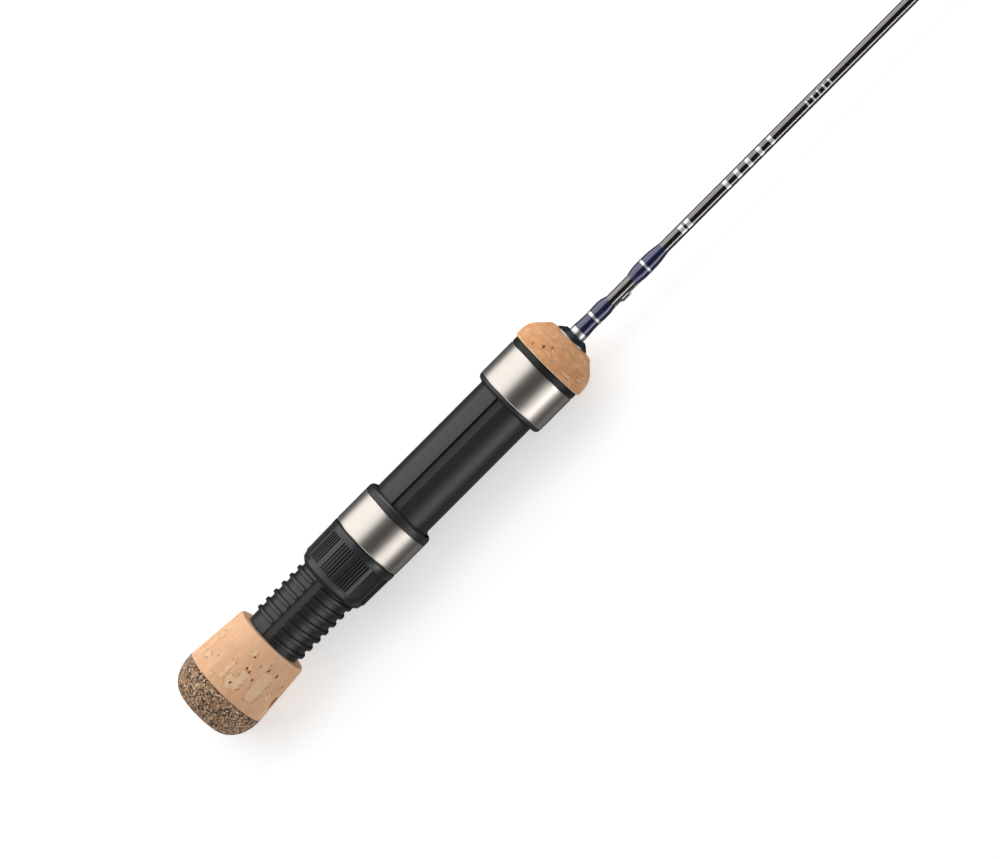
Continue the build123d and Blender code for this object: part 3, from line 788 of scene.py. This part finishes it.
def make_lock_nut():
    """Ring nut: grip grooves in twelve groups of five, plain lands between, and its own thread."""
    rear, front, radius = span("lock_nut")
    body_front = span("sliding_hood")[0] - 0.15
    groups, grooves, groove_pitch, groove_half = 12, 5, math.radians(4.6), 0.23
    bottom_r, land_r = 11.08, 11.45
    edge_turn = 0.07 / land_r
    half_turn = groove_half / land_r
    # half of a groove's section: edge turns out from its wall, and share of its depth
    side = [(2.1, 0.0), (1.1, 0.08), (0.35, 0.30), (-0.4, 1.0)]
    group = []
    for k in range(grooves):
        centre = groove_pitch * (k - (grooves - 1) / 2)
        group += [(centre - half_turn - edge_turn * out, deep) for out, deep in side]
        group += [(centre + half_turn + edge_turn * out, deep) for out, deep in side[::-1]]
    land = np.linspace(group[-1][0], TURN / groups + group[0][0], 6)
    group += [(turn, 0.0) for turn in land[1:-1]]
    turns, shares = np.array(group).T
    angles = np.add.outer((np.arange(groups) + 0.5) * TURN / groups, turns).ravel()
    depth = np.tile(shares, groups)
    grip_start, grip_end = rear + 3.2, front - 5.4

    def grooved(x, share):
        skin = land_r - 0.05 + 0.15 * (x - grip_start) / (grip_end - grip_start)
        return row(x, skin - share * depth * (skin - bottom_r), angles)

    minor_r, major_r, relief_r, neck_r = 9.2, 10.0, 10.05, 10.4
    foot = [(0.0, minor_r + 0.05), (0.0, 9.35), (0.25, 9.72), (1.15, 10.72), (1.35, 10.82)]
    foot += [(2.65, 11.08), (2.8, 11.16), (2.86, 11.34), (2.96, land_r - 0.05)]
    collar = [(-1.82, 11.55), (-1.7, radius - 0.02), (-0.14, radius), (-0.04, radius - 0.05)]
    collar += [(0.0, radius - 0.15), (0.0, neck_r)]
    snap = [(-0.9, neck_r), (-0.6, neck_r + 0.3), (0.0, neck_r + 0.2), (0.0, relief_r)]
    rows = rings(foot, angles, rear)
    rows += [grooved(grip_start + x, share) for x, share in ((-0.02, 0.0), (0.1, 0.85), (0.2, 1.0))]
    rows += [grooved(grip_end + x, share) for x, share in ((-0.2, 1.0), (-0.1, 0.85), (0.02, 0.0))]
    rows += rings(collar, angles, body_front) + rings(snap, angles, front)
    # the thread inside, cut to the same helix as the seat's with room on its flanks
    gap, step, thread_front = 0.175, 0.2, body_front - 0.8
    rows.append(row(thread_front, relief_r, angles))
    half_at_minor = CREST_HALF + FLANK_SLOPE * (BARREL_R - minor_r) + gap
    half_at_major = CREST_HALF + FLANK_SLOPE * (BARREL_R - major_r) + gap
    for x in np.arange(thread_front, rear + 0.02, -step):
        turns = (x - THREAD_START[0]) / THREAD_PITCH - (angles - THREAD_START[1]) / TURN
        off = np.abs((turns - np.round(turns)) * THREAD_PITCH)
        share = np.clip((half_at_minor - off) / (half_at_minor - half_at_major), 0, 1)
        rows.append(row(x, minor_r + (major_r - minor_r) * share, angles))
    grip = [grip_start < points[0][0] < grip_end and points[0][1] > bottom_r - 0.5 for points in rows]
    # groove: how deep each point lies in a grip groove, where the nut's material paints shade
    fields = {"groove": np.outer(grip, np.clip(depth - 0.25, 0, 0.75) / 0.75)}
    shells = [loft(rows)]
    piece("lock_nut_grip", shells, nut_black, "lock_nut", "lock_nut", fields, crease=32)


# ---------------- winding check and blank
def make_check():
    """Black cone where the blank leaves the handle, and the bright rim behind it."""
    bore = 2.67
    start, end, radius = span("winding_check")
    corners = [(start, bore), (start, radius, 0.06), (start + 0.3, radius, 0.12)]
    corners += [(end, 3.6, 0.15), (end, bore)]
    turned_piece("check_cone", corners, (0.4, 0.03), 160, check_black, "winding_check")
    start, end, radius = span("winding_check_rim")
    outer = radius + 0.12
    corners = [(start, bore), (start, outer, 0.1), (end, outer, 0.1), (end, bore)]
    turned_piece("check_rim", corners, (0.6, 0.03), 160, rim_steel, "winding_check_rim")


# the blank's taper: x and radius
BLANK_STATIONS = [(8.0, 1.85), (190.0, 1.80), (288.0, 1.72), (327.0, 1.51), (416.0, 1.06), (515.0, 0.67)]
BLANK_STATIONS.append((598.0, 0.40))


def blank_radius(x):
    return float(np.interp(x, *zip(*BLANK_STATIONS)))


def make_blank():
    start, end, _ = span("blank")
    xs = [*np.arange(start, end, 1.5), end]
    path = [(start, 0.0)] + [(x, blank_radius(x)) for x in xs] + [(end, 0.0)]
    piece("blank_tube", [loft(turned(path, 56), closed=False)], graphite, "blank", crease=50)


def make_prints():
    """Plain silver bars where the real blank carries its printing."""
    check_front = span("winding_check")[1]
    lift, sunk = 0.012, 0.05
    # distance ahead of the winding check, half length, and spread in degrees each side of the top
    bars = [(42.3, 0.8, 42), (44.7, 0.8, 42)]
    bars += [(60.0 + 4.4 * k, 0.7, 46) for k in range(5)]
    bars += [(92.0 + 2.2 * k, 0.3, 30) for k in range(5)]
    shells = []
    for ahead, half, spread in bars:
        x = check_front + ahead
        turns = np.radians(np.linspace(90 - spread, 90 + spread, 25))
        skin, bed = blank_radius(x) + lift, blank_radius(x) - sunk
        rows = [np.vstack([row(at, skin, turns), row(at, bed, turns)[::-1]]) for at in (x - half, x + half)]
        shells.append(loft(capped(rows), closed=False))
    piece("silver_bars", shells, silver_print, crease=35)


# ---------------- wraps
def wrap_piece(name, node, stations, count, bore_r, thread, pitch=0.22, relief=0.014, swell=None):
    """A thread wrap whose turns show as fine rings. Stations are (x, radius) along its outside."""
    xs, radii = zip(*stations)
    spread = np.arange(xs[0], xs[-1], pitch / 4)
    angles = around(count)
    rows = [row(spread[0], bore_r, angles)]
    for x, radius in zip(spread, smooth_line(xs, radii, spread)):
        skin = radius + relief * np.cos(TURN * ((x - xs[0]) / pitch - angles / TURN))
        rows.append(row(x, skin + swell(x, angles) if swell else skin, angles))
    rows.append(row(spread[-1], bore_r, angles))
    piece(name, [loft(rows)], thread, node)


def hermite(t):
    """Shares of a cubic's start, start slope, end and end slope."""
    return 2 * t**3 - 3 * t**2 + 1, t**3 - 2 * t**2 + t, 3 * t**2 - 2 * t**3, t**3 - t**2


def smooth_line(xs, ys, at):
    """Smooth curve through a few points, flat beyond the last ones (Catmull-Rom in y over x)."""
    xs, ys = np.array(xs, float), np.array(ys, float)
    slopes = np.gradient(ys, xs)
    at = np.clip(at, xs[0], xs[-1])
    i = np.clip(np.searchsorted(xs, at) - 1, 0, len(xs) - 2)
    width = xs[i + 1] - xs[i]
    parts = (ys[i], width * slopes[i], ys[i + 1], width * slopes[i + 1])
    return sum(share * part for share, part in zip(hermite((at - xs[i]) / width), parts))


def make_keeper_wraps():
    count = 72
    outlines = {
        "rear": [(154.1, 2.62), (157.0, 2.42), (159.5, 2.38), (161.6, 2.50), (164.0, 2.42), (165.9, 1.92)],
        "front": [(174.5, 1.92), (177.0, 2.38), (180.0, 2.45), (183.0, 2.38), (187.0, 1.86)],
    }
    for name, stations in outlines.items():
        wrap_piece(f"{name}_wrap_thread", f"keeper_wrap_{name}", stations, count, 1.7, navy, 0.25, 0.018)
        node = f"keeper_band_{name}"
        start, end, radius = span(node)
        crown = 0.03
        stations = [(start, radius - crown), ((start + end) / 2, radius + crown), (end, radius - crown)]
        wrap_piece(f"{name}_band_thread", node, stations, count, radius - 0.2, silver, 0.3, 0.03)
    node = "keeper_band_base"
    start, end, radius = span(node)
    stations = [(start, radius), (end, radius - 0.02)]
    wrap_piece("base_band_thread", node, stations, count, 1.9, silver, 0.75, 0.035)


def swept(path, half_thick, half_wide, first_normal, squareness=1.0, sides=14):
    """A strip or wire along 3-D points, its normal carried along without twisting.

    Half sizes are one for each point, along the normals and across.
    """
    path = np.asarray(path, float)
    turns = around(sides)
    c, s = (np.sign(wave) * np.abs(wave) ** squareness for wave in (np.cos(turns), np.sin(turns)))
    halves = np.broadcast_to(np.transpose([half_thick, half_wide]), (len(path), 2))
    normal = np.array(first_normal, float)
    rows = []
    for p, tangent, (thick, wide) in zip(path, unit(np.gradient(path, axis=0)), halves):
        normal = unit(normal - (normal @ tangent) * tangent)
        rows.append(p + np.outer(c * thick, normal) + np.outer(s * wide, np.cross(tangent, normal)))
    return loft(capped(rows), closed=False)


def rounded_path(points, radius, step=0.12):
    """A path of straight runs in space with its corners rounded."""
    points = [np.array(p, float) for p in points]
    path = [points[0]]
    for before, here, after in zip(points, points[1:], points[2:]):
        u, v = unit(before - here), unit(after - here)
        half = math.acos(np.clip(u @ v, -1, 1)) / 2
        shortest = min(np.linalg.norm(before - here), np.linalg.norm(after - here))
        cut = min(radius / math.tan(half), 0.48 * shortest)
        path += [here + u * cut * (1 - share) ** 2 + v * cut * share**2 for share in np.linspace(0, 1, 9)]
    return np.array(divided(path + [points[-1]], step))


def make_keeper():
    """Wire loop between the keeper wraps."""
    angle = math.radians(-145)
    wire = 0.42
    lay = blank_radius(170) + wire + 0.02
    crown = lay + 0.65
    flat = [(163.4, lay), (168.0, lay), (168.5, crown), (171.3, crown), (171.8, lay), (176.4, lay)]
    out = np.array([0, math.cos(angle), math.sin(angle)])
    path = rounded_path([np.array([x, 0, 0]) + out * r for x, r in flat], 0.7)
    piece("keeper_wire", [swept(path, wire, wire, out)], guide_steel, "hook_keeper")


# ---------------- guides and tip-top
def hoop(centre, tilt, outer, inner, thick, edge, count=120):
    """Ring with rounded edges, its axis in the XY plane, turned tilt radians from X towards Y."""
    half = thick / 2
    corners = [(-half, inner, edge), (-half, outer, edge), (half, outer, edge), (half, inner, edge)]
    path = outline(corners, min(outer - inner, 2 * thick) / 4, arc_step=edge * 0.35)
    spin = np.array(Matrix.Rotation(tilt, 3, "Z"))
    return loft(turned(path, count) @ spin.T + np.array([*centre, 0]))


def bent(points, tangents, count):
    """Smooth plane curve through points with a tangent at each, as 3-D points."""
    points, tangents = np.array(points, float), np.array(tangents, float)
    path = [
        sum(share * part for share, part in zip(hermite(t), parts))
        for parts in zip(points, tangents, points[1:], tangents[1:])
        for t in np.linspace(0, 1, count, endpoint=False)
    ]
    return np.pad([*path, points[-1]], ((0, 0), (0, 1)))


def ring_place(frame_node, ring_node):
    """Centre (x, y), outer radius and insert radius of a guide's ring."""
    low, high = box(ring_node)
    return ((low.x + high.x) / 2, (low.y + high.y) / 2), box(frame_node)[1].z, high.z


def make_guide(number, tilt=math.radians(9.0), foot_length=13.0):
    """Single-foot guide: ground foot, flat bent leg, ring and its insert, and the wrap over its foot."""
    frame_node, ring_node, wrap_node = (f"guide_{number}_{part}" for part in ("frame", "ring", "wrap"))
    centre, outer_r, insert_r = ring_place(frame_node, ring_node)
    foot_x = box(frame_node)[0].x
    outward = np.array([math.sin(tilt), -math.cos(tilt)])
    leg_top = np.array(centre) - outward * outer_r
    base_x = foot_x + foot_length
    base_r = blank_radius(base_x)
    run, rise = leg_top[0] - base_x, -leg_top[1]
    reach = 0.9 * run
    tip = (foot_x, 0.05 - blank_radius(foot_x))
    heel = (base_x - 0.5, -base_r - 0.3)
    knee = (base_x + 0.42 * run, -0.47 * rise)
    top = leg_top + outward * 0.45
    along_foot = (foot_length - 0.5, heel[1] - tip[1])
    foot = bent([tip, heel], [along_foot, along_foot], 16)[:-1]
    down_leg = [(0.5 * reach, -0.12 * reach), (0.42 * reach, -0.52 * reach), (0.36 * reach, -0.62 * reach)]
    path = np.vstack([foot, bent([heel, knee, top], down_leg, 14)])
    along = path[:, 0] - base_x
    half_wide = np.interp(along, [-foot_length, -2.0, 0.45 * run, run + 0.5], [0.30, 0.85, 0.66, 1.15])
    half_thick = np.interp(along, [-foot_length, -7.0, 0.0, run], [0.06, 0.26, 0.30, 0.32])
    strip = swept(path, half_thick, half_wide, (0, -1, 0), squareness=0.45, sides=24)
    ring = hoop(centre, tilt, outer_r, insert_r - 0.02, 1.0, 0.28)
    insert = hoop(centre, tilt, insert_r, insert_r - 0.75, 1.5, 0.34)
    piece(f"guide_{number}_leg", [strip, ring], guide_steel, frame_node)
    piece(f"guide_{number}_insert", [insert], ring_steel, ring_node)

    start, end, full_r = span(wrap_node)
    shoulder = base_r + 0.34
    ramp = ((start, 0.03), (start + 3, 0.16), (start + 8, 0.28))
    stations = [(x, blank_radius(x) + thick) for x, thick in ramp]
    stations += [(end - 2.2, shoulder), (end, base_r + 0.1)]

    def over_foot(x, angles):
        """The wrap stands out over the foot, which lies on the -Y side."""
        rise_share = np.clip((x - foot_x + 1.5) / 7.0, 0, 1) * np.clip((end + 0.3 - x) / 1.6, 0, 1)
        nearness = np.clip(-np.cos(angles), 0, 1) ** 2
        return (full_r - shoulder) * rise_share * nearness

    bore_r = blank_radius(end) * 0.9
    wrap_piece(f"guide_{number}_thread", wrap_node, stations, 56, bore_r, navy, swell=over_foot)


def make_tip_top(tilt=math.radians(14.5)):
    """Tip-top: tube on the blank's end, ring, tail wire and the brace behind the tube."""
    centre, outer_r, insert_r = ring_place("tip_frame", "tip_ring")
    wire = 0.35
    middle_r = (outer_r + insert_r) / 2
    tube_start, tube_end, tube_r = span("tip_tube")

    def on_ring(drop, z):
        """Point in the ring's plane, drop from its centre towards the blank's axis."""
        return centre[0] - drop * math.sin(tilt), centre[1] + drop * math.cos(tilt), z

    bend_x = centre[0] + centre[1] * math.tan(tilt)
    tail = rounded_path([(tube_end - 3, 0, 0), (bend_x, 0, 0), on_ring(middle_r, 0)], 1.8)
    collar_x, drop = 595.7, 1.6
    loop_r = tube_r + wire + 0.02
    arm_z = math.sqrt(middle_r**2 - drop**2)
    turns = np.linspace(math.pi / 2, -math.pi / 2, 17)
    brace = [on_ring(drop, arm_z), *row(collar_x, loop_r, turns), on_ring(drop, -arm_z)]
    brace = np.array(divided(brace, 0.2))
    shells = [swept(tail, wire, wire, (0, 0, 1)), swept(brace, wire, wire, (1, 0, 0))]
    shells.append(hoop(centre, tilt, outer_r, insert_r - 0.02, 0.9, 0.22, count=90))
    insert = hoop(centre, tilt, insert_r, insert_r - 0.6, 1.2, 0.25, count=90)
    piece("tip_top_wires", shells, tip_steel, "tip_frame")
    piece("tip_top_insert", [insert], ring_steel, "tip_ring")
    bore = 0.3
    corners = [(tube_start, bore), (tube_start, 0.8, 0.08), (tube_start + 3, tube_r, 0.3)]
    corners += [(tube_end, tube_r, 0.12), (tube_end, bore)]
    turned_piece("tip_top_tube", corners, (0.8, 0.05), 48, tip_steel, "tip_tube", crease=50)
    start, end, radius = span("tip_wrap")
    stations = [(start, 0.56), (start + 5.4, radius - 0.08), (end - 1.2, radius), (end, tube_r + 0.02)]
    wrap_piece("tip_wrap_thread", "tip_wrap", stations, 48, 0.4, navy)


# ---------------- stage
def make_camera():
    """Long lens above the handle, the rod running up to the right across the picture."""
    lean, slant = math.radians(4.2), math.radians(45.08)
    distance = 1.06
    data = bpy.data.cameras.new("camera")
    data.lens, data.sensor_width, data.clip_end = 134.5, 36.0, 100.0
    camera = added("camera", data)
    turn = Matrix.Rotation(lean, 4, "Y") @ Matrix.Rotation(-slant, 4, "Z")
    target = Matrix.Translation((0.11805, -0.0035, 0.0))
    camera.matrix_world = target @ turn @ Matrix.Translation((0, 0, distance))
    scene.camera = camera


def panel(name, centre, aim, size, power, glossy=True, diffuse=True):
    """Soft box: a rectangle of light at centre, turned to aim, unseen by the camera. Metres, watts."""
    data = bpy.data.lights.new(name, "AREA")
    data.shape = "RECTANGLE"
    data.size, data.size_y = size
    data.energy = power
    light = added(name, data)
    light.location = centre
    light.rotation_euler = (Vector(centre) - Vector(aim)).to_track_quat("Z", "Y").to_euler()
    light.visible_camera, light.visible_glossy, light.visible_diffuse = False, glossy, diffuse


def make_floor():
    lowest = min(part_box(name)[0].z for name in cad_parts)
    half = 30.0
    corners = [(x * half, y * half, lowest) for x, y in ((-1, -1), (1, -1), (1, 1), (-1, 1))]
    mesh = bpy.data.meshes.new("floor")
    mesh.from_pydata(corners, [], [(0, 1, 2, 3)])
    mesh.materials.append(pale_floor)
    floor = added("floor", mesh)
    floor.visible_glossy = floor.visible_shadow = False


def make_lights():
    """Broad boxes above the +Y side, narrow ones at -Y. Handle and blank have their own of each."""
    middle = (0.25, 0.0, 0.0)
    handle_x, blank_x = -0.625, 0.975
    panel("key_handle", (handle_x, 1.0, 0.95), (handle_x, 0.0, 0.95), (1.45, 2.7), 19.8)
    panel("key_blank", (blank_x, 1.0, 0.675), (blank_x, 0.0, 0.675), (1.75, 2.15), 19.0)
    panel("strip_handle", (handle_x, -1.0, 0.64), (handle_x, 0.0, 0.0), (1.45, 0.80), 6.3, diffuse=False)
    panel("strip_blank", (blank_x, -1.0, 0.43), (blank_x, 0.0, 0.0), (1.75, 0.32), 8.4, diffuse=False)
    panel("low_box", (0.25, -1.0, -0.9), middle, (3.2, 0.6), 1.5, diffuse=False)
    panel("fill_box", (0.25, -2.2, 1.0), middle, (3.0, 1.6), 25.0, glossy=False)
    panel("rear_box", (-1.3, 0.0, 1.0), middle, (2.0, 0.6), 4.5, diffuse=False)
    panel("front_box", (1.5, 0.9, 0.0), middle, (1.2, 0.6), 11.0, diffuse=False)
    panel("top_fill", (0.25, 0.9, 2.5), middle, (2.5, 2.5), 27.0, glossy=False)


def make_world():
    """White surroundings: faint light, fainter in reflections, bright behind the floor's edge."""
    world = bpy.data.worlds.new("studio")
    scene.world = world
    world.use_nodes = True
    tree = world.node_tree
    path = tree.nodes.new("ShaderNodeLightPath")
    gloss, seen = (tree.nodes.new("ShaderNodeMix") for _ in range(2))
    gloss.inputs["A"].default_value = 0.08
    for step, ray, strength in ((gloss, "Is Glossy Ray", 0.02), (seen, "Is Camera Ray", 0.95)):
        tree.links.new(path.outputs[ray], step.inputs["Factor"])
        step.inputs["B"].default_value = strength
    tree.links.new(gloss.outputs["Result"], seen.inputs["A"])
    background = tree.nodes["Background"]
    tree.links.new(seen.outputs["Result"], background.inputs["Strength"])
    background.inputs["Color"].default_value = (1.0, 1.0, 1.0, 1.0)
    scene.view_settings.view_transform = "Standard"


# ---------------- everything
for node_name in ("seat_arbor_rear", "seat_arbor_middle", "seat_arbor_front"):
    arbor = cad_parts[node_name]
    arbor.data.materials.clear()
    arbor.data.materials.append(foam)

make_butt_cap()
make_butt_cork()
make_seat()
make_sleeve("fixed_sleeve_shell", "fixed_hood_sleeve", "rod")
make_trim_ring()
make_fore_grip()
make_check()
make_sliding_hood()
make_sleeve("sliding_sleeve_shell", "sliding_hood_sleeve", "sliding_hood")
make_lock_nut()
make_blank()
make_prints()
make_keeper_wraps()
make_keeper()
for guide_number in (1, 2, 3):
    make_guide(guide_number)
make_tip_top()
make_camera()
make_floor()
make_lights()
make_world()
